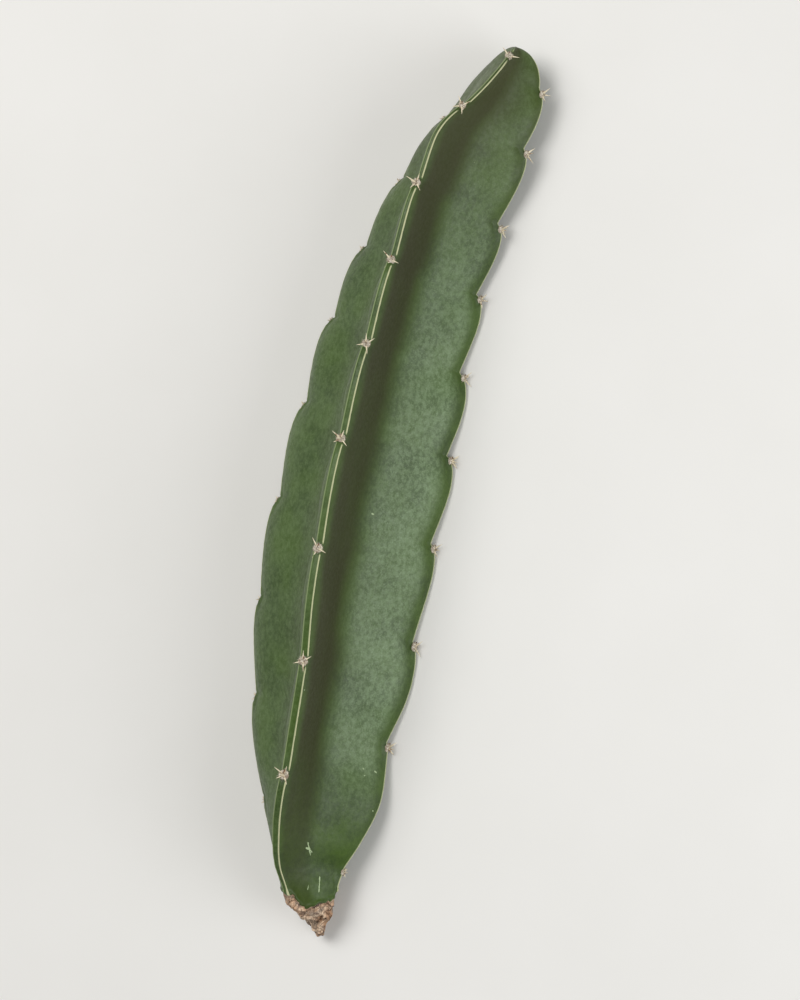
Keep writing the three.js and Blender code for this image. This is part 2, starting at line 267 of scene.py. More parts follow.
def sections_at(along):
    """The stem's outline at each place, of shape (places, points, 2), once round the three ribs."""
    middle = middle_at(along)
    ribs = [rib_at(rib, along) for rib in RIBS]
    blocks = []
    for i, rib in enumerate(RIBS):
        here = ribs[i]
        after = ribs[(i + 1) % 3]
        strip = np.linspace(-1, 1, CREST_POINTS)[None, :, None]
        crest_middle = middle + here["out"] * here["reach"]
        crest = crest_middle[:, None, :] + strip * (here["side"] * here["half"])[:, None, :]
        valley_out = here["out"] + after["out"]
        valley_out /= np.linalg.norm(valley_out, axis=-1, keepdims=True)
        valley_way = np.stack([-valley_out[:, 1], valley_out[:, 0]], axis=-1)
        depth = (plan_at("fill", along) * plan_at("reach", along) * dome_share(along))[:, None]
        valley = middle + valley_out * depth
        down = flank(middle, here, rib["flank_after"], 1, valley, valley_way, flank_t)
        up = flank(middle, after, RIBS[(i + 1) % 3]["flank_before"], -1, valley, valley_way, flank_t)
        blocks += [crest, down, up[:, -2::-1]]
    return np.concatenate(blocks, axis=1)


BLOCK = CREST_POINTS + FLANK_POINTS + FLANK_POINTS - 1
RING = 3 * BLOCK
print("points round the stem:", RING)

# %% [markdown]
# The sections stand 0.6 mm apart along the stem. They are closer in the rounded tip, which would
# look faceted otherwise, and in the callus, which is rough. The cut is steep and uneven: a short
# table says how much nearer the tip its rim is at each bearing round the stem. Near the cut the
# sections lean over one after another until the last one lies in that rim.

# %% Place the sections along the stem
BODY_STEP = 0.6
CALLUS_STEP = 0.3
CALLUS_TO = CUT_END + 14
DOME_SECTIONS = 26
NECK_TO = -112.0
RIM_BEARING = np.array([0, 20, 45, 65, 85, 180, 236, 270, 305, 332, 348, 360], dtype=float)
RIM_RISE = np.array([4.2, 6, 5.5, 3.5, 1.2, 1.5, -1, -5.4, -8.4, -7.4, -1, 4.2])

callus_places = np.arange(CUT_END, CALLUS_TO, CALLUS_STEP)
body_places = np.arange(CALLUS_TO, DOME_FROM, BODY_STEP)
dome_places = DOME_FROM + (TIP - DOME_FROM) * np.sin(np.pi / 2 * np.arange(DOME_SECTIONS) / DOME_SECTIONS)
PLACES = np.concatenate([callus_places, body_places, dome_places])


def eased(value, places, values):
    """Values read from a table at `value`, eased in and out between the table's places."""
    here = np.clip(np.searchsorted(places, value, side="right") - 1, 0, len(places) - 2)
    t = smooth_step(value, places[here], places[here + 1])
    return values[here] * (1 - t) + values[here + 1] * t


def bearings(along, outline):
    """The direction of each point from its section's middle, 0 to 360 degrees, and its distance."""
    arm = outline - middle_at(along)[:, None, :]
    angle = np.degrees(np.arctan2(arm[..., 1], arm[..., 0])) % 360
    return angle, np.linalg.norm(arm, axis=-1)


def leaning(along, outline):
    """How far along each point of these outlines is, once the sections near the cut lean into it."""
    bearing, distance = bearings(along, outline)
    share = distance / plan_at("reach", along)[:, None]
    fade = 1 - smooth_step(along, CUT_END, NECK_TO)
    return along[:, None] + fade[:, None] * share * eased(bearing, RIM_BEARING, RIM_RISE)


outlines = sections_at(PLACES)
alongs = leaning(PLACES, outlines)
print("sections:", len(PLACES), "- quads on the skin:", (len(PLACES) - 1) * RING)

# %% [markdown]
# Real skin is never quite even. A little value noise does that: random numbers on a coarse lattice,
# blended smoothly between its points. The numbers come from a fixed seed, so each run of the script
# grows the same stem.

# %% A noise to roughen with
LATTICE = 64


def lattice_noise(points, size, seed):
    """Smooth noise from -1 to 1 at points of shape (..., 3), with lumps about `size` across."""
    table = np.random.default_rng(seed).uniform(-1, 1, (LATTICE, LATTICE, LATTICE))
    scaled = points / size + 1000.37
    cell = np.floor(scaled).astype(int)
    part = scaled - cell
    part = part * part * (3 - 2 * part)
    total = np.zeros(points.shape[:-1])
    for corner in np.ndindex(2, 2, 2):
        index = (cell + corner) % LATTICE
        weight = np.prod(np.where(corner, part, 1 - part), axis=-1)
        total += weight * table[index[..., 0], index[..., 1], index[..., 2]]
    return total


def joined(outline, along):
    """Outlines and places as points in space: across, along and up."""
    return np.stack([outline[..., 0], along, outline[..., 1]], axis=-1)


skin = joined(outlines, alongs)
print("noise check:", lattice_noise(skin[:3, :3], 5.0, 1).round(2).tolist()[0])

# %% [markdown]
# ## Where each point is on its rib
#
# The details follow the rib, not the room: a corky line runs along each side of the crest, and a
# dimple surrounds each areole. So each point is told how far it is from its rib's crest edge,
# measured over the skin, and how far from the nearest areole of that rib.

# %% Measure over the skin
step = np.linalg.norm(np.roll(outlines, -1, axis=1) - outlines, axis=-1)
over_crest = np.zeros((len(PLACES), RING))
rib_of = np.zeros(RING, dtype=int)
for i in range(3):
    first = i * BLOCK
    crest_width = step[:, first : first + CREST_POINTS - 1].sum(axis=1)
    after_index = (first + np.arange(CREST_POINTS + FLANK_POINTS)) % RING
    before_index = (first - 1 - np.arange(FLANK_POINTS - 1)) % RING
    walked = np.cumsum(step[:, after_index], axis=1)
    over_crest[:, after_index[0]] = -crest_width / 2
    over_crest[:, after_index[1:]] = walked[:, :-1] - crest_width[:, None] / 2
    over_crest[:, before_index] = -np.cumsum(step[:, before_index], axis=1) - crest_width[:, None] / 2
    rib_of[after_index] = i
    rib_of[before_index] = i
half_crest = np.stack([plan_at("crest", PLACES) * rib["crest_share"] * dome_share(PLACES) for rib in RIBS])
half_crest = half_crest[rib_of].T
from_areole = np.full(over_crest.shape, 1e3)
for i, rib in enumerate(RIBS):
    mine = rib_of == i
    for place in rib["areoles"]:
        reach = np.hypot(PLACES[:, None] - place, over_crest[:, mine])
        from_areole[:, mine] = np.minimum(from_areole[:, mine], reach)
print("skin from crest to valley, mm:", np.abs(over_crest).max().round(1))

# %% [markdown]
# ## Relief on the skin
#
# The points now move in or out, square to the outline. The corky lines are beads of dry cork on both
# sides of the crest. The bead on the right of the top rib is the thickest, and it stops at each
# areole. The skin dips round an areole and swells just below it, and all of it waves a little.

# %% Raise the corky lines and dimple the areoles
BEAD_HEIGHT = {"right": (0.22, 0.22), "top": (0.34, 0.2), "left": (0.22, 0.22)}
BEAD_WIDTH = 0.21
BEAD_BREAK = 2.2
BEAD_FADE = 0.6
KNOTTINESS = 0.25
KNOT_SIZE = 1.3
DIMPLE_DEPTH = 0.75
DIMPLE_WIDTH = 4.2
WAVE_HEIGHT = 0.16
WAVE_SIZE = 9.0
RIPPLE_HEIGHT = 0.05
RIPPLE_SIZE = 3.0

around = np.roll(outlines, -1, axis=1) - np.roll(outlines, 1, axis=1)
around /= np.linalg.norm(around, axis=-1, keepdims=True) + 1e-9
outward = np.stack([around[..., 1], -around[..., 0]], axis=-1)

heights = np.array([BEAD_HEIGHT[rib["name"]] for rib in RIBS])[rib_of]
bead_before = np.exp(-(((over_crest + half_crest) / BEAD_WIDTH) ** 2))
bead_after = np.exp(-(((over_crest - half_crest) / BEAD_WIDTH) ** 2))
unbroken = smooth_step(from_areole, BEAD_BREAK * BEAD_FADE, BEAD_BREAK)
knots = 1 + KNOTTINESS * lattice_noise(skin, KNOT_SIZE, 11)
corky = np.clip(bead_before * unbroken + bead_after, 0, 1)
in_dome = smooth_step(dome_share(PLACES), 0.15, 0.7)[:, None]
beads = (bead_before * heights[:, 0] * unbroken + bead_after * heights[:, 1]) * knots * in_dome

on_flank = smooth_step(np.abs(over_crest) - half_crest, 0.2, 2.5)
dimples = DIMPLE_DEPTH * np.exp(-((from_areole / DIMPLE_WIDTH) ** 2)) * on_flank
waves = WAVE_HEIGHT * lattice_noise(skin * [1, 0.6, 1], WAVE_SIZE, 3)
ripples = RIPPLE_HEIGHT * lattice_noise(skin, RIPPLE_SIZE, 4)
relief = beads - dimples + (waves + ripples) * on_flank
print("relief from", relief.min().round(2), "to", relief.max().round(2), "mm")

# %% [markdown]
# ## The dry end
#
# A cut stem seals itself. The face dries to a tan callus, and the flesh shrinks away from the woody
# core, which is left standing proud as a three-sided ring. The callus creeps up the sides, where it
# ends in a ragged line: hardly at all on the broad face, some way on the left, and furthest under the
# right rib. A table of a few bearings says how far. The living skin ends in a slightly lifted lip.

# %% Wrinkle the callused sides
CREEP_BEARING = np.array([0, 15, 30, 75, 88, 100, 125, 180, 240, 290, 335, 350, 360], dtype=float)
CREEP = np.array([2.5, 1.0, 0.0, 0.2, 1.8, 4.2, 4.6, 4.0, 4.5, 8.0, 13.0, 8.5, 2.5])
RAG_LONG = 0.9
RAG_SHORT = 0.5
RAG_ROOM = 1.2
WRINKLE = 0.34
CRUMB = 0.2
CALLUS_SUNK = 0.35
LIP = 0.42
LIP_AT = 0.7
LIP_WIDTH = 0.6

bearing, _ = bearings(PLACES, outlines)
creep = eased(bearing, CREEP_BEARING, CREEP)
ragged = RAG_LONG * lattice_noise(skin, 1.6, 21) + RAG_SHORT * lattice_noise(skin, 0.7, 22)
past_callus = PLACES[:, None] - CUT_END - creep - ragged * np.clip(creep, 0, RAG_ROOM) / RAG_ROOM
callus = 1 - smooth_step(past_callus, -0.25, 0.35)
along_fibres = joined(outlines, alongs * 0.35)
wrinkles = WRINKLE * lattice_noise(along_fibres, 1.1, 23) + CRUMB * lattice_noise(skin, 0.55, 24)
lip = LIP * np.exp(-(((past_callus - LIP_AT) / LIP_WIDTH) ** 2))
lip = lip * (PLACES < CALLUS_TO - 1)[:, None]
relief = relief * (1 - callus) + callus * (wrinkles - CALLUS_SUNK) + lip

skin = joined(outlines + outward * relief[..., None], alongs)
print("callused share of the skin:", callus.mean().round(3))

# %% [markdown]
# The cut face closes the end with rings of points that shrink towards the heart of the woody core.
# Their relief stands square to the face. It is a function of how far out a point is: a dry rim, a
# sunken band where the flesh shrank away from the skin, the raised woody ring, and a shallow pith.
# Noise in two sizes makes the torn flesh.

# %% Shape the cut face
FACE_RINGS = 34
HEART = np.array([15.0, -136.5, 7.5])
WOOD_SHARE = 0.5
WOOD_WIDTH = 0.1
WOOD_PROUD = 0.9
GAP_SHARE = 0.93
GAP_WIDTH = 0.05
GAP_SUNK = 0.9
PITH_WIDTH = 0.3
PITH_SUNK = 0.35
TORN_COARSE = 0.5
TORN_FINE = 0.28

face_share = 1 - (np.arange(FACE_RINGS) + 1) / (FACE_RINGS + 1)
share = face_share[:, None]
face_flat = HEART + face_share[:, None, None] * (skin[0] - HEART)
across_rings = np.roll(face_flat, -1, axis=1) - np.roll(face_flat, 1, axis=1)
face_out = np.cross(across_rings, np.broadcast_to(skin[0] - HEART, face_flat.shape))
face_out /= np.linalg.norm(face_out, axis=-1, keepdims=True) + 1e-9
face_out *= -np.sign(face_out[..., 1:2])
wood = np.exp(-(((share - WOOD_SHARE) / WOOD_WIDTH) ** 2)) * np.ones((1, RING))
gap = np.exp(-(((share - GAP_SHARE) / GAP_WIDTH) ** 2)) * np.ones((1, RING))
pith = np.exp(-((share / PITH_WIDTH) ** 2))
torn = TORN_COARSE * lattice_noise(face_flat, 1.5, 31) + TORN_FINE * lattice_noise(face_flat, 0.7, 32)
torn_fade = smooth_step(1 - share, 0, 0.1) * smooth_step(share, 0, 0.15)
face_relief = WOOD_PROUD * wood - GAP_SUNK * gap - PITH_SUNK * pith + torn * torn_fade
face = face_flat + face_out * face_relief[..., None]
heart = HEART[None, :] + [[0, PITH_SUNK, 0]]
print("woody ring stands", WOOD_PROUD, "mm proud of the cut")

# %% [markdown]
# ## Make the mesh
#
# Rings of the same number of points join with quads. The skin's rings run from the cut to the tip,
# where a single point closes them, and the face's rings run from the rim inwards to the heart, which
# is a point too. So the stem is closed, as a solid thing is.

# %% Join the rings into one closed stem
def quads_between(first_ring, second_ring):
    near = first_ring * RING + np.arange(RING)
    far = second_ring * RING + np.arange(RING)
    return np.stack([near, far, np.roll(far, -1), np.roll(near, -1)], axis=-1)


def mesh_from(name, points, faces):
    mesh = bpy.data.meshes.new(name)
    mesh.from_pydata(points, [], faces)
    mesh.polygons.foreach_set("use_smooth", np.ones(len(mesh.polygons), dtype=bool))
    mesh.update()
    return mesh


skin_rings = len(PLACES)
tip_point = joined(middle_at(np.array([TIP])), np.array([TIP]))
points = np.concatenate([skin.reshape(-1, 3), face.reshape(-1, 3), tip_point, heart])
tip_index = (skin_rings + FACE_RINGS) * RING
quads = [quads_between(i, i + 1) for i in range(skin_rings - 1)]
quads.append(quads_between(skin_rings, 0))
quads += [quads_between(i + 1, i) for i in range(skin_rings, skin_rings + FACE_RINGS - 1)]
faces = np.concatenate(quads).tolist()
last_ring = (skin_rings - 1) * RING
inner_ring = (skin_rings + FACE_RINGS - 1) * RING
for i in range(RING):
    after = (i + 1) % RING
    faces.append((last_ring + i, tip_index, last_ring + after))
    faces.append((tip_index + 1, inner_ring + i, inner_ring + after))

# %% [markdown]
# The plan's zero is not quite the frame's, which is the bottom middle of the whole part. The stem's
# own box in the frame gives the small shift between the two.

# %% Set it in the frame
cad_low, cad_high = (np.array(corner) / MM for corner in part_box("stem"))
plain = joined(outlines, alongs)
plain_low = plain.reshape(-1, 3).min(axis=0)
plain_high = plain.reshape(-1, 3).max(axis=0)
shift = (cad_low + cad_high) / 2 - (plain_low + plain_high) / 2
shift[1] = cad_high[1] - TIP
shift[2] = cad_low[2] - plain_low[2]
stem_mesh = mesh_from("stem_skin", (points + shift) * MM, faces)
stem = bpy.data.objects.new("stem_skin", stem_mesh)
bpy.context.collection.objects.link(stem)
print("shift, mm:", shift.round(3), "- triangles:", sum(len(f) - 2 for f in faces))

# %% [markdown]
# ## What the finish must know
#
# The colours follow the form. The skin is a real olive-bronze down in the shade of the top rib,
# made darker there with painted shade, and the other valleys take a little of the same bronze and
# painted shade. It is bronze again on the young tip, where it has not greened yet. Wax lies as a pale
# bloom over the outer half of the broad face, and thinly on the left one; where the side light's
# highlight falls it is a painted sheen as well as real wax. All of this is worked out here from where
# a point is: its share of the way over its face, from one crest to the next, and how far along the
# stem it is.

# %% Work out the bronze with its painted shade, and the bloom with its painted sheen
def band(value, rise, fall):
    """1 between two ranges: it eases up through `rise` and down through `fall`."""
    return smooth_step(value, *rise) * (1 - smooth_step(value, *fall))


BASE_RANGE = (-128, -70)
BASE_BRONZE_AND_SHADE_LESS = 0.55
VALLEY_BRONZE_AND_SHADE = 0.3
YOUNG_RANGE = (95, 132)
YOUNG_BRONZE = 0.75
SIDE_WAX_AND_SHEEN = 0.36
PLAIN_WAX = 0.2

way = np.zeros((len(PLACES), RING))
for i in range(3):
    on_face = np.arange(i * BLOCK + CREST_POINTS - 1, i * BLOCK + BLOCK)
    walked = np.cumsum(step[:, on_face], axis=1)
    way[:, on_face[1:]] = walked[:, :-1] / walked[:, -1:]
block_of = np.arange(RING) // BLOCK
from_top = np.where(block_of == 0, 1 - way, way)
on_broad = (block_of == 0) & (np.arange(RING) >= CREST_POINTS)
on_left = (block_of == 1) & (np.arange(RING) >= BLOCK + CREST_POINTS)

at_base = 1 - smooth_step(PLACES, *BASE_RANGE)[:, None]
# Painted shade: the broad face's bronze band lies where the top rib shades it, a real olive-bronze made
# darker as painted shade, and the other valleys get a little of it.
shaded = band(from_top, (0.0, 0.11), (0.34, 0.56))
valleys = band(way, (0.3, 0.5), (0.5, 0.7))
bronze_and_shade = np.where(on_broad, shaded * (1 - BASE_BRONZE_AND_SHADE_LESS * at_base), VALLEY_BRONZE_AND_SHADE * valleys)
young_face = smooth_step(PLACES, *YOUNG_RANGE)[:, None] * (1 - smooth_step(from_top, 0.45, 0.9)) * on_broad
bronze_and_shade = np.maximum(bronze_and_shade, YOUNG_BRONZE * young_face)

# Partly painted sheen: the pale bloom band on the broad face, and the weaker one on the left face, are
# real wax plus the side light's highlight painted into the colour.
wax_and_sheen_band = band(from_top, (0.44, 0.66), (0.84, 0.97))
wax_and_sheen_along = smooth_step(PLACES, -108, -75) * (1 - 0.75 * smooth_step(PLACES, 20, 120))
left_wax_and_sheen = SIDE_WAX_AND_SHEEN * smooth_step(way, 0.1, 0.3) * (1 - smooth_step(PLACES, 60, 130)[:, None] * 0.5)
bloom_and_sheen = np.where(on_broad, wax_and_sheen_band * wax_and_sheen_along[:, None], np.where(on_left, left_wax_and_sheen, PLAIN_WAX))
print("bronze and bloom, means:", bronze_and_shade.mean().round(3), bloom_and_sheen.mean().round(3))

# %% [markdown]
# Each number goes with its point as an attribute, which a material can read by name. The corky line is
# greener underneath and on the far side of the top rib, a painted shade lies round each areole, and
# the painted shadow in the gap between flesh and skin shows only on the upper right of the cut.

# %% Pin the facts to the points
UNDER_CORK = 0.8
TOP_FAR_CORK = 0.62
GAP_BEARING = 58
GAP_REACH = 38
GAP_FADE = 12
AREOLE_SHADE = 2.6
YOUTH_FROM = 60


def add_fact(name, skin_values, face_values, end_values):
    """One number for each point of the stem: skin, cut face, then the tip's and the heart's points."""
    ends = np.array(end_values, dtype=float)
    values = np.concatenate([np.ravel(skin_values), np.ravel(face_values), ends])
    layer = stem_mesh.attributes.new(name, "FLOAT", "POINT")
    layer.data.foreach_set("value", values.astype(np.float32))


corky = np.where(block_of == 2, UNDER_CORK, 1.0) * corky
corky = np.where((rib_of == 1) & (over_crest > 0), TOP_FAR_CORK, 1.0) * corky
# Where the gap's painted shadow lies on the cut face.
gap_shadow_on_face = gap * smooth_step(GAP_REACH - np.abs(bearing[:1] - GAP_BEARING), 0, GAP_FADE)
no_skin = np.zeros(skin.shape[:2])
no_face = np.zeros((FACE_RINGS, RING))
add_fact("cork", corky * in_dome, no_face, (0, 0))
add_fact("callus", callus, no_face + 1, (0, 1))
add_fact("wood", no_skin, wood, (0, 0))
add_fact("gap", no_skin, gap_shadow_on_face, (0, 0))
add_fact("bronze_and_shade", bronze_and_shade, no_face, (0, 0))
add_fact("bloom_and_sheen", bloom_and_sheen, no_face, (0, 0))
# How much painted shade darkens the skin round each areole.
add_fact("shade_by_areole", np.exp(-((from_areole / AREOLE_SHADE) ** 2)), no_face, (0, 0))
add_fact("youth", smooth_step(alongs, YOUTH_FROM, TIP), no_face, (1, 0))
print("facts:", [layer.name for layer in stem_mesh.attributes if layer.data_type == "FLOAT"])

# %% [markdown]
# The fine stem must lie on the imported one, which holds its place and its weight. A search tree over
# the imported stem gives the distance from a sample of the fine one's points. Then the fine stem rides
# on the part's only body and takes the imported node's place.

# %% Check it against the model and hand it over
SAMPLE_EVERY = 25
tree = BVHTree.FromObject(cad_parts["stem"], bpy.context.evaluated_depsgraph_get())
sample = (points + shift)[::SAMPLE_EVERY] * MM
gaps = [tree.find_nearest(Vector(point))[3] / MM for point in sample]
print("fine stem to model stem, mm: mean", round(float(np.mean(gaps)), 2), "most", round(max(gaps), 2))

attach(stem, "root")
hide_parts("stem")

# %% [markdown]
# ## The finish of the stem
#
# The skin is waxy and satin, so light from the side lies on it as a broad pale sheen; part of that
# sheen is painted into the colour as the pale wax bloom. Its green is mottled at two scales, turns
# olive-bronze darkened with painted shade under the top rib, takes painted shade round each areole,
# and is duller towards the young tip. One Principled shader carries all of it. Colours are mixed one
# over another, in the order in which a painter would glaze them: greens first, then bronze and
# painted shade, wax bloom and painted sheen, painted shade round the areoles, cork, old marks and
# callus.

# %% Helpers for building a finish
def colour(red, green, blue):
    """A colour as seen on screen, 0 to 255, as the linear numbers that a shader needs."""
    parts = np.array([red, green, blue]) / 255
    linear = np.where(parts <= 0.04045, parts / 12.92, ((parts + 0.055) / 1.055) ** 2.4)
    return (*linear.tolist(), 1.0)


class Finish:
    """A material under construction: each method adds a node and returns its output."""

    def __init__(self, name):
        self.material = bpy.data.materials.new(name)
        self.material.use_nodes = True
        self.tree = self.material.node_tree
        self.shader = self.tree.nodes["Principled BSDF"]
        self.place = self.node("TexCoord").outputs["Object"]

    def node(self, kind):
        return self.tree.nodes.new(f"ShaderNode{kind}")

    def link(self, source, socket):
        """Feed a socket from a node's output, or set it to a plain value."""
        if hasattr(source, "is_output"):
            self.tree.links.new(source, socket)
        else:
            socket.default_value = source

    def fed(self, node, inputs, output=0):
        """One output of a node, once its inputs are linked or set."""
        for name, source in inputs.items():
            self.link(source, node.inputs[name])
        return node.outputs[output]

    def fact(self, name):
        """A number pinned to the mesh's points under this name."""
        node = self.node("Attribute")
        node.attribute_name = name
        return node.outputs["Fac"]

    def math(self, operation, first, second=0.0, clamp=False):
        node = self.node("Math")
        node.operation = operation
        node.use_clamp = clamp
        return self.fed(node, {0: first, 1: second})

    def vector_math(self, operation, inputs, output=0):
        node = self.node("VectorMath")
        node.operation = operation
        return self.fed(node, inputs, output)

    def stretch(self, scale):
        """The place, scaled by a factor on each axis, so that noise runs along the stem."""
        return self.fed(self.node("Mapping"), {"Scale": scale, "Vector": self.place})

    def noise(self, lump, detail=3.0, rough=0.55, vector=None):
        """Noise with lumps about `lump` millimetres across, from 0 to 1."""
        grain = {"Scale": 1 / (lump * MM), "Detail": detail, "Roughness": rough}
        return self.fed(self.node("TexNoise"), {**grain, "Vector": vector or self.place})

    def wobbly(self, lump, amount):
        """The place, pushed about by noise, both in millimetres: for cells and scratches."""
        grain = {"Scale": 1 / (lump * MM), "Vector": self.place}
        noise = self.fed(self.node("TexNoise"), grain, "Color")
        centred = self.vector_math("SUBTRACT", {0: noise, 1: (0.5, 0.5, 0.5)})
        pushed = self.vector_math("MULTIPLY", {0: centred, 1: (amount * MM,) * 3})
        return self.vector_math("ADD", {0: self.place, 1: pushed})

    def cracks(self, size):
        """0 on the cracks between cells about `size` millimetres across, more inside them."""
        node = self.node("TexVoronoi")
        node.feature = "DISTANCE_TO_EDGE"
        grain = {"Scale": 1 / (size * MM), "Vector": self.wobbly(0.9, 0.5)}
        return self.fed(node, grain, "Distance")

    def scratch(self, place, start, end, width):
        """1 within `width` of the line between two points, in metres, and 0 away from it."""
        line = end - start
        from_start = self.vector_math("SUBTRACT", {0: place, 1: tuple(start)})
        unit = tuple(line / line.length_squared)
        along = self.vector_math("DOT_PRODUCT", {0: from_start, 1: unit}, output=1)
        along = self.math("ADD", along, 0.0, clamp=True)
        nearest = self.vector_math("SCALE", {0: tuple(line), "Scale": along})
        away = self.vector_math("DISTANCE", {0: from_start, 1: nearest}, output=1)
        return self.spread(away, width * MM, width * MM * 0.6)

    def spread(self, value, low, high, to_low=0.0, to_high=1.0):
        """A value from `low` to `high`, eased and spread over another range."""
        node = self.node("MapRange")
        node.interpolation_type = "SMOOTHSTEP"
        ends = {"From Min": low, "From Max": high, "To Min": to_low, "To Max": to_high}
        return self.fed(node, {"Value": value, **ends})

    def glaze(self, under, over, amount):
        """One colour laid over another, by an amount from 0 to 1."""
        node = self.node("Mix")
        node.data_type = "RGBA"
        return self.fed(node, {0: amount, 6: under, 7: over}, 2)

    def bump(self, height, strength, distance, under=None):
        """Fine relief for the light, `distance` millimetres high, over an earlier one if given."""
        inputs = {"Strength": strength, "Distance": distance * MM, "Height": height}
        if under is not None:
            inputs["Normal"] = under
        return self.fed(self.node("Bump"), inputs)


print("a green of 58, 82, 20 in the shader:", [round(v, 3) for v in colour(58, 82, 20)[:3]])

# %% Mix the waxy green skin
GREEN = colour(58, 82, 20)
DEEP_GREEN = colour(43, 64, 14)
PALE_GREEN = colour(84, 108, 44)
# The next colour is pale wax with a painted sheen in it.
BLOOM_AND_SHEEN = colour(130, 152, 116)
# The next colour is a real olive-bronze, darkened with painted shade.
BRONZE_AND_SHADE = colour(44, 47, 12)
YOUNG = colour(72, 77, 40)
CORK = colour(188, 188, 150)
CORK_GREEN = colour(128, 144, 100)

green = Finish("waxy_green_skin")
broad = green.spread(green.noise(14, 2.0), 0.35, 0.65)
mottle = green.spread(green.noise(1.3, 4.0, 0.6, vector=green.stretch((1, 0.75, 1))), 0.36, 0.66)
fleck = green.spread(green.noise(0.5, 2.0), 0.46, 0.7)
hue = green.glaze(DEEP_GREEN, GREEN, broad)
hue = green.glaze(hue, PALE_GREEN, green.math("MULTIPLY", mottle, 0.24))
hue = green.glaze(hue, PALE_GREEN, green.math("MULTIPLY", fleck, 0.16))
# Olive-bronze with painted shade under the top rib and in the valleys.
bronze_patch = green.spread(green.noise(22, 2.0), 0.2, 0.7, 0.8, 1.0)
bronze_and_shade_here = green.math("MULTIPLY", green.fact("bronze_and_shade"), bronze_patch)
hue = green.glaze(hue, BRONZE_AND_SHADE, bronze_and_shade_here)
hue = green.glaze(hue, YOUNG, green.math("MULTIPLY", green.fact("youth"), 0.4))
# The pale wax bloom, partly a painted sheen, finely mottled.
wax_and_sheen_grain = green.math("ADD", green.math("MULTIPLY", mottle, 0.3), green.math("MULTIPLY", fleck, 0.2))
wax_and_sheen_patch = green.spread(green.noise(9, 3.0), 0.3, 0.7, 0.16, 0.34)
wax_and_sheen = green.math("MULTIPLY", green.fact("bloom_and_sheen"), green.math("ADD", wax_and_sheen_grain, wax_and_sheen_patch))
hue = green.glaze(hue, BLOOM_AND_SHEEN, wax_and_sheen)
# Painted shade in the dimple round each areole.
hue = green.glaze(hue, DEEP_GREEN, green.math("MULTIPLY", green.fact("shade_by_areole"), 0.45))
cork_hue = green.glaze(CORK_GREEN, CORK, green.spread(green.fact("cork"), 0.5, 0.95))
cork_here = green.spread(green.fact("cork"), 0.22, 0.6)
hue = green.glaze(hue, cork_hue, cork_here)

# %% [markdown]
# The skin carries a few old marks: a star-shaped scratch and a straight one low on the broad face,
# and some tiny corky specks. Each is a short line between two points on the skin, in millimetres
# across and along, and the mesh says how high the skin is there. Noise frays their outlines.

# %% Scratch the skin
SCRATCHES = [
    ((10.2, -111.2), (11.2, -115.2), 0.27),
    ((9.9, -113.2), (10.8, -113.4), 0.42),
    ((10.8, -113.4), (11.6, -114.2), 0.24),
    ((14.9, -121.4), (15.8, -125.9), 0.24),
    ((12.5, -124.3), (12.6, -125.8), 0.15),
    ((7.5, -8.6), (7.7, -8.8), 0.34),
    ((14.9, 103.4), (15.0, 103.6), 0.24),
    ((19.6, -86.4), (19.7, -86.5), 0.32),
    ((22.9, -86.6), (23.2, -87.0), 0.3),
    ((20.5, -88.4), (20.6, -88.3), 0.2),
    ((25.1, -98.5), (25.2, -98.6), 0.26),
    ((4.9, -64.4), (5.0, -64.5), 0.22),
]
SCAR = colour(164, 182, 140)


def on_broad_face(across, along):
    """The point of the broad face, in the frame and in metres, at these millimetres of the plan."""
    face_points = skin[:, CREST_POINTS:BLOCK].reshape(-1, 3)
    nearest = face_points[np.hypot(face_points[:, 0] - across, face_points[:, 1] - along).argmin()]
    return Vector((np.array([across, along, nearest[2]]) + shift) * MM)


frayed = green.wobbly(0.6, 0.5)
scars = 0.0
for start, end, width in SCRATCHES:
    one = green.scratch(frayed, on_broad_face(*start), on_broad_face(*end), width)
    scars = green.math("MAXIMUM", one, scars)
hue = green.glaze(hue, SCAR, scars)
print("scratches and specks:", len(SCRATCHES))

# %% [markdown]
# The callus is dead tissue: tan and cream crumbs between dark brown cracks, greyer in broad patches.
# It has no sheen at all. The woody ring is its palest part, and the gap between the shrunken flesh and
# the living skin is painted almost black, as painted shadow.

# %% Mix the callus over the green
TAN = colour(204, 168, 138)
CREAM = colour(248, 220, 190)
BROWN = colour(82, 52, 42)
GREY_TAN = colour(150, 134, 120)
# The last colour is painted shadow in the gap between flesh and skin.
GAP_SHADOW = colour(38, 24, 20)

fibres = green.noise(1.1, 4.0, 0.65, vector=green.stretch((1, 0.5, 1)))
crumbs = green.noise(0.5, 3.0, 0.6)
cells = green.cracks(1.9)
dry = green.glaze(TAN, GREY_TAN, green.spread(green.noise(5, 2.0), 0.42, 0.62))
dry = green.glaze(dry, CREAM, green.spread(fibres, 0.5, 0.7))
dry = green.glaze(dry, CREAM, green.math("MULTIPLY", green.fact("wood"), 0.7))
dry = green.glaze(dry, BROWN, green.spread(fibres, 0.4, 0.28))
dry = green.glaze(dry, BROWN, green.math("MULTIPLY", green.spread(crumbs, 0.42, 0.3), 0.45))
dry = green.glaze(dry, BROWN, green.spread(cells, 0.06, 0.02, 0.0, 0.5))
# Painted shadow in the gap between the shrunken flesh and the skin.
dry = green.glaze(dry, GAP_SHADOW, green.spread(green.fact("gap"), 0.35, 0.8))
callus_here = green.spread(green.fact("callus"), 0.3, 0.7)
hue = green.glaze(hue, dry, callus_here)
green.link(hue, green.shader.inputs["Base Color"])

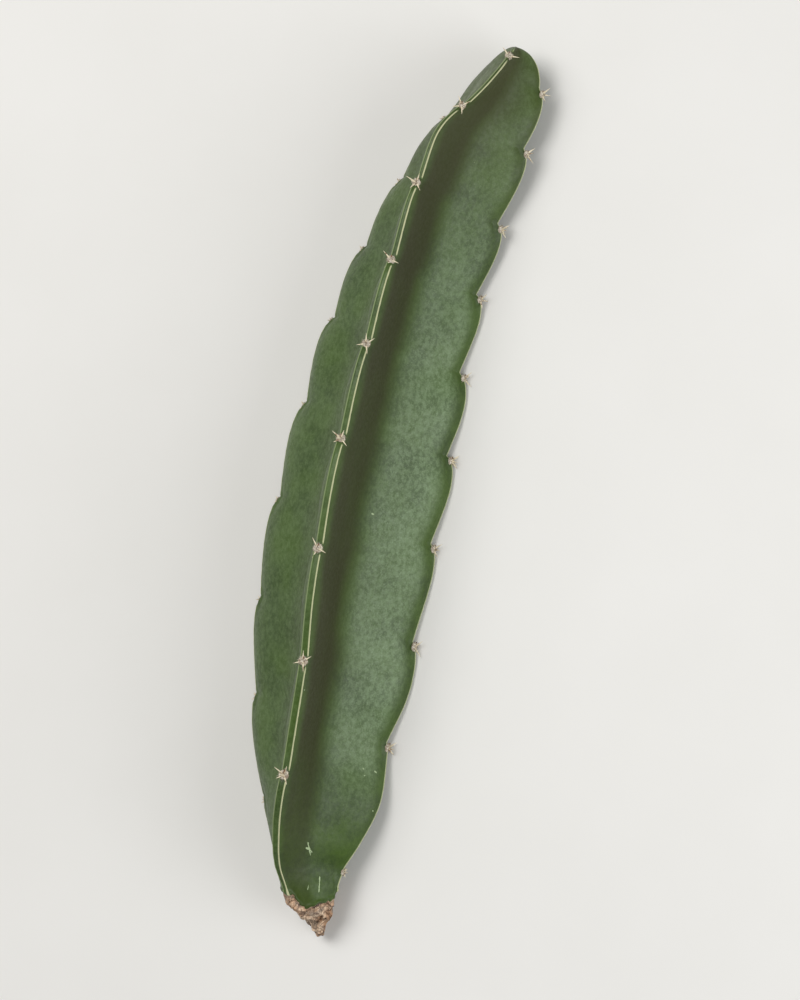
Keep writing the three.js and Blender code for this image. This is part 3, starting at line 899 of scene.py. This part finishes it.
satin = green.spread(green.noise(1.2, 3.0), 0.3, 0.7, 0.36, 0.5)
satin = green.math("ADD", satin, green.math("MULTIPLY", green.fact("bronze_and_shade"), 0.16))
dull = green.math("MAXIMUM", callus_here, cork_here)
rough = green.math("ADD", satin, green.math("MULTIPLY", dull, 0.42), clamp=True)
green.link(rough, green.shader.inputs["Roughness"])
green.shader.inputs["IOR"].default_value = 1.38
pores = green.bump(green.noise(0.35, 2.0), 0.22, 0.08)
lumps = green.bump(green.noise(2.4, 3.0), 0.35, 0.22, under=pores)
scarred = green.bump(scars, 0.5, 0.15, under=lumps)
crumbly = green.math("ADD", fibres, green.math("ADD", crumbs, green.spread(cells, 0.0, 0.12)))
dry_height = green.math("MULTIPLY", crumbly, callus_here)
green.link(green.bump(dry_height, 0.8, 0.45, under=scarred), green.shader.inputs["Normal"])
stem_mesh.materials.append(green.material)
print("nodes in the skin:", len(green.tree.nodes))

# %% [markdown]
# ## The areoles
#
# An areole is a short shoot that never grew out: a cushion of grey-tan felt with a few stiff spines.
# Older ones wear down to a ring with a brown middle. Each is its own piece here. It has a lumpy
# cushion, some eighty short bent fibres standing out of it, three to five tapered spines, and the
# dry brown scale that once covered the bud. All of them are rings of points swept along a curve.

# %% Sweep a tapered shape along a curve
class Bunch:
    """Points and faces gathered from many small shapes, with the material each face wears."""

    def __init__(self):
        self.points = []
        self.faces = []
        self.wears = []

    def sweep(self, spine_line, radii, sides, wears, squash=1.0):
        """A closed shape round a line of points, with one radius at each point and pointed ends."""
        way = np.gradient(spine_line, axis=0)
        way /= np.linalg.norm(way, axis=-1, keepdims=True)
        helper = np.where(np.abs(way[:, :1]) < 0.8, [[1.0, 0, 0]], [[0, 0, 1.0]])
        first = np.cross(way, helper)
        first /= np.linalg.norm(first, axis=-1, keepdims=True)
        second = np.cross(way, first)
        turn = 2 * np.pi * np.arange(sides) / sides
        cosine = np.cos(turn)[None, :, None]
        sine = np.sin(turn)[None, :, None]
        spokes = cosine * first[:, None] + sine * second[:, None] * squash
        rings = spine_line[:, None] + spokes * np.asarray(radii)[:, None, None]
        base = sum(len(p) for p in self.points)
        self.points += [rings.reshape(-1, 3), spine_line[:1], spine_line[-1:]]
        count = len(spine_line)
        start_point = base + count * sides
        for i in range(sides):
            after = (i + 1) % sides
            for ring in range(count - 1):
                low = base + ring * sides
                self.faces.append((low + i, low + after, low + sides + after, low + sides + i))
                self.wears.append(wears)
            last = base + (count - 1) * sides
            self.faces.append((start_point, base + after, base + i))
            self.faces.append((start_point + 1, last + i, last + after))
            self.wears += [wears, wears]

    def make(self, name, materials):
        """One object of all the shapes, set in the frame."""
        mesh = mesh_from(name, (np.concatenate(self.points) + shift) * MM, self.faces)
        for material in materials:
            mesh.materials.append(material)
        mesh.polygons.foreach_set("material_index", np.array(self.wears, dtype=np.int32))
        piece = bpy.data.objects.new(name, mesh)
        bpy.context.collection.objects.link(piece)
        return piece


WOOL, SPINE, SCALE = range(3)
print("a bunch wears wool, spine and scale as materials", (WOOL, SPINE, SCALE))

# %% [markdown]
# The wool is pale and rough, with brown patches where it is oldest. A spine is horn: cream with
# browner stretches, and a little shiny. The scale is dry brown bark.

# %% Mix the wool, the spines and the scale
wool = Finish("areole_wool")
felt = wool.spread(wool.noise(0.5, 4.0, 0.7), 0.35, 0.68)
wool_hue = wool.glaze(colour(142, 124, 102), colour(228, 222, 208), felt)
old_wool = wool.spread(wool.noise(1.4, 2.0), 0.6, 0.74, 0.0, 0.7)
wool_hue = wool.glaze(wool_hue, colour(104, 78, 56), old_wool)
wool.link(wool_hue, wool.shader.inputs["Base Color"])
wool.shader.inputs["Roughness"].default_value = 0.95
wool.link(wool.bump(wool.noise(0.2, 3.0), 0.7, 0.12), wool.shader.inputs["Normal"])

horn = Finish("spine_horn")
old_horn = horn.spread(horn.noise(1.1, 2.0), 0.55, 0.7)
horn_hue = horn.glaze(colour(228, 216, 188), colour(128, 92, 62), old_horn)
horn.link(horn_hue, horn.shader.inputs["Base Color"])
horn.link(horn.spread(horn.noise(0.6), 0.3, 0.7, 0.4, 0.6), horn.shader.inputs["Roughness"])

scale = Finish("dry_scale")
scale_hue = scale.glaze(colour(96, 66, 44), colour(150, 114, 80), scale.noise(0.6, 3.0))
scale.link(scale_hue, scale.shader.inputs["Base Color"])
scale.shader.inputs["Roughness"].default_value = 0.85
cluster_finish = (wool.material, horn.material, scale.material)
print("finishes:", [m.name for m in cluster_finish])

# %% [markdown]
# A cushion is a lumpy ball, flattened and, on an old areole, worn hollow in the middle. Fibres stand
# out of it in every direction, and the spines make one of three stars. Every shape is made in the
# areole's own directions: along the stem, across it, and straight out of the rib.

# %% Make the cushion, the fibres and the spines
PAD_THICKNESS = 0.6
HOLLOW_WIDTH = 0.45
FIBRES = 84
FIBRE_ROOT = 0.92
FIBRE_RADIUS = 0.055
SPINE_BASE = 0.32
SPINE_POINT = 0.02
# Each spine of a star: how far it leans from straight out, which way it leans, and its share of the
# longest spine's length.
STARS = [
    [(62, 40, 1.0), (70, 160, 0.85), (66, 265, 0.95)],
    [(58, 15, 0.9), (68, 105, 0.75), (60, 200, 1.0), (72, 300, 0.8)],
    [(64, 65, 1.0), (55, 140, 0.7), (70, 225, 0.9), (60, 335, 0.85), (20, 90, 0.6)],
]


def toward(lean, around_angle):
    """A direction in an areole's frame, `lean` degrees from straight out."""
    spread = math.sin(math.radians(lean))
    turned = math.radians(around_angle)
    return np.array([spread * math.cos(turned), spread * math.sin(turned), math.cos(math.radians(lean))])


def cushion(bunch, radius, place, seed, worn):
    """A lumpy cushion: rings round its axis, with a sunken middle where it is worn."""
    height = np.linspace(-1, 1, 13)
    wide = np.sqrt(np.clip(1 - height**2, 0, 1)) * 0.97 + 0.03
    axis_line = np.stack([height * 0, height * 0, height * PAD_THICKNESS * radius], axis=-1)
    before = len(bunch.points)
    bunch.sweep(axis_line, wide * radius, 18, WOOL)
    for part in range(before, len(bunch.points)):
        local = bunch.points[part]
        lumps = 0.12 * lattice_noise(local, 0.45 * radius, seed)
        lumps = lumps + 0.05 * lattice_noise(local, 0.2 * radius, seed + 1)
        outwards = np.linalg.norm(local[:, :2], axis=-1) / radius
        hollow = worn * radius * 0.5 * np.exp(-((outwards / HOLLOW_WIDTH) ** 2))
        local = local * (1 + lumps[:, None])
        local[:, 2] -= np.where(local[:, 2] > 0, hollow, 0)
        bunch.points[part] = place(local)


def fibres_on(bunch, radius, place, random):
    """Short bent hairs standing out of the cushion."""
    for _ in range(FIBRES):
        lean = random.uniform(10, 88)
        angle = random.uniform(0, 360)
        root = toward(lean, angle) * radius * [FIBRE_ROOT, FIBRE_ROOT, PAD_THICKNESS * FIBRE_ROOT]
        grow = toward(min(lean + random.uniform(-25, 25), 95), angle + random.uniform(-40, 40))
        bend = np.cross(grow, toward(90, random.uniform(0, 360))) * random.uniform(-0.25, 0.25)
        length = radius * random.uniform(0.3, 0.65)
        t = np.linspace(0, 1, 4)[:, None]
        line = root + grow * length * t + bend * length * t**2
        bunch.sweep(place(line), FIBRE_RADIUS * (1.05 - t[:, 0]), 3, WOOL)


def spines_on(bunch, star, lean_share, radius, place, long, random):
    """A star of slightly bent spines, each swollen a little above its base and sharp at its point."""
    t = np.linspace(0, 1, 9)[:, None]
    taper = SPINE_BASE * (1 - t[:, 0]) ** 0.8
    swelling = 1 + 0.35 * np.exp(-(((t[:, 0] - 0.22) / 0.1) ** 2))
    thick = taper * swelling + SPINE_POINT
    for lean, angle, share in star:
        way_out = toward(lean_share * lean + random.uniform(-6, 6), angle + random.uniform(-12, 12))
        side_bend = np.cross(way_out, toward(90, random.uniform(0, 360)))
        length = radius * 0.45 + long * share
        line = way_out * length * t + side_bend * length * random.uniform(-0.1, 0.1) * t**2
        bunch.sweep(place(line), thick, 8, SPINE)


def scale_on(bunch, radius, place):
    """The dry scale that covered the bud: a flat tongue lying along the stem beside the cushion."""
    t = np.linspace(0, 1, 6)[:, None]
    lying = toward(75, 0) * radius * (0.55 + 0.65 * t)
    arched = lying + toward(0, 0) * radius * 0.3 * t * (1 - t) * 2
    bunch.sweep(place(arched), 0.4 * radius * (1 - t[:, 0]) ** 0.6 + 0.02, 8, SCALE, squash=0.3)


print("spines in the three stars:", [len(star) for star in STARS])

# %% [markdown]
# Each areole then needs its place on the rib. Old cushions are wider than young ones. The lower ribs
# lie close to the floor, so their areoles point level, and what would still dip into the floor is
# turned upwards. Those of the left rib are tucked in under it, and the last one before the cut has
# dried small.

# %% Make the twenty-eight areoles
PAD_YOUNG = 1.2
PAD_OLD = 1.6
PAD_OUT = 0.15
PAD_TUCKED = -0.35
SMALL_PAD = 0.72
SPINE_LONG = 3.2
SMALL_SPINE = 0.5
LOW_LEAN = 0.72
FLOOR_ROOM = 0.3
TURNED_UP = 0.5
ALONG_STEM = np.array([0.0, 1.0, 0.0])
SPINE_SEED = 700
WOOL_SEED = 50
floor_limit = plain_low[2] + FLOOR_ROOM


def placer(centre, axis, is_lower):
    """A function from an areole's own directions to the plan, which keeps clear of the floor."""
    across = np.cross(axis, ALONG_STEM)

    def place(local):
        moved = centre + local[:, :1] * ALONG_STEM + local[:, 1:2] * across + local[:, 2:3] * axis
        if is_lower:
            above = moved[:, 2] - centre[2]
            share = np.where(moved[:, 2] < floor_limit, TURNED_UP, np.sign(above))
            moved[:, 2] = centre[2] + np.abs(above) * share
        return moved

    return place


for rib_number, rib in enumerate(RIBS):
    for index, along in enumerate(rib["areoles"]):
        at = np.array([float(along)])
        here = rib_at(rib, at)
        out = here["out"][0]
        edge = middle_at(at)[0] + out * here["reach"][0]
        is_lower = out[1] < 0
        is_tucked = rib["name"] == "left"
        is_small = is_tucked or (rib["name"] == "right" and index == len(rib["areoles"]) - 1)

        age = (TIP - along) / (TIP - CUT_END)
        radius = (PAD_YOUNG + (PAD_OLD - PAD_YOUNG) * age) * (SMALL_PAD if is_small else 1.0)
        long = SPINE_LONG * (SMALL_SPINE if is_small else 1.0)
        axis = np.array([out[0], 0, 0.0 if is_lower else out[1]])
        axis /= np.linalg.norm(axis)
        centre = np.array([edge[0], along, max(edge[1], floor_limit + radius)])
        centre += axis * radius * (PAD_TUCKED if is_tucked else PAD_OUT)
        place = placer(centre, axis, is_lower)

        bunch = Bunch()
        random = np.random.default_rng(SPINE_SEED + 40 * rib_number + index)
        wear = max(0.0, age * 1.2 - 0.2)
        cushion(bunch, radius, place, WOOL_SEED + 10 * rib_number + index, wear)
        fibres_on(bunch, radius, place, random)
        lean_share = LOW_LEAN if is_lower else 1.0
        spines_on(bunch, STARS[index % 3], lean_share, radius, place, long, random)
        scale_on(bunch, radius, place)
        number = f"{rib['name']}_{index + 1:02d}"
        piece = bunch.make(f"areole_{number}", cluster_finish)
        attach(piece, "root")
        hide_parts(f"spine_cluster_{number}")
print("areoles made:", sum(len(rib["areoles"]) for rib in RIBS))

# %% [markdown]
# ## Floor and light
#
# The floor is a plain pale sheet. The main light is a large soft box above, a little to the upper
# left. A second one stands low on the right, and its reflection in the right rib's broad, swollen
# flank makes part of the sheen; the rest is painted into the skin's colour as the wax bloom. The room
# is an even pale grey.

# %% Lay the floor
FLOOR_HALF = 1.6
floor_mesh = mesh_from(
    "floor",
    [(x, y, 0) for x, y in ((-1, -1), (1, -1), (1, 1), (-1, 1))],
    [(0, 1, 2, 3)],
)
for vertex in floor_mesh.vertices:
    vertex.co *= FLOOR_HALF
floor = bpy.data.objects.new("floor", floor_mesh)
bpy.context.collection.objects.link(floor)
floor.location.z = min(0.0, cad_box[0][2])
pale = Finish("pale_floor")
pale_hue = pale.glaze(colour(226, 225, 222), colour(232, 231, 229), pale.noise(60))
pale.link(pale_hue, pale.shader.inputs["Base Color"])
pale.shader.inputs["Roughness"].default_value = 0.9
floor_mesh.materials.append(pale.material)
floor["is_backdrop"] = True
print("floor, m across:", 2 * FLOOR_HALF)

# %% Set the lights
def soft_box(name, place, width, height, power, tint):
    """A rectangular light that faces the stem, its size in metres and its power in watts."""
    data = bpy.data.lights.new(name, "AREA")
    data.shape = "RECTANGLE"
    data.size = width
    data.size_y = height
    data.energy = power
    data.color = tint
    lamp = bpy.data.objects.new(name, data)
    lamp.location = place
    lamp.rotation_mode = "QUATERNION"
    lamp.rotation_quaternion = (LOOK_AT - Vector(place)).to_track_quat("-Z", "Y")
    bpy.context.collection.objects.link(lamp)


soft_box("overhead_box", (-0.45, 0.25, 1.05), 0.7, 0.7, 9.5, (1.0, 0.99, 0.97))
soft_box("side_box", (0.75, -0.05, 0.32), 0.5, 0.9, 4.4, (0.97, 0.99, 1.0))
world = bpy.data.worlds.new("room")
world.use_nodes = True
room = world.node_tree.nodes["Background"]
room.inputs["Color"].default_value = (1.0, 0.99, 0.96, 1.0)
room.inputs["Strength"].default_value = 0.3
bpy.context.scene.world = world
bpy.context.scene.view_settings.view_transform = "Standard"

# %% Measure the visual box and print it
seen_box = [list(corner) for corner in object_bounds()]
print("visual box, mm:", [[round(v / MM, 1) for v in corner] for corner in seen_box])
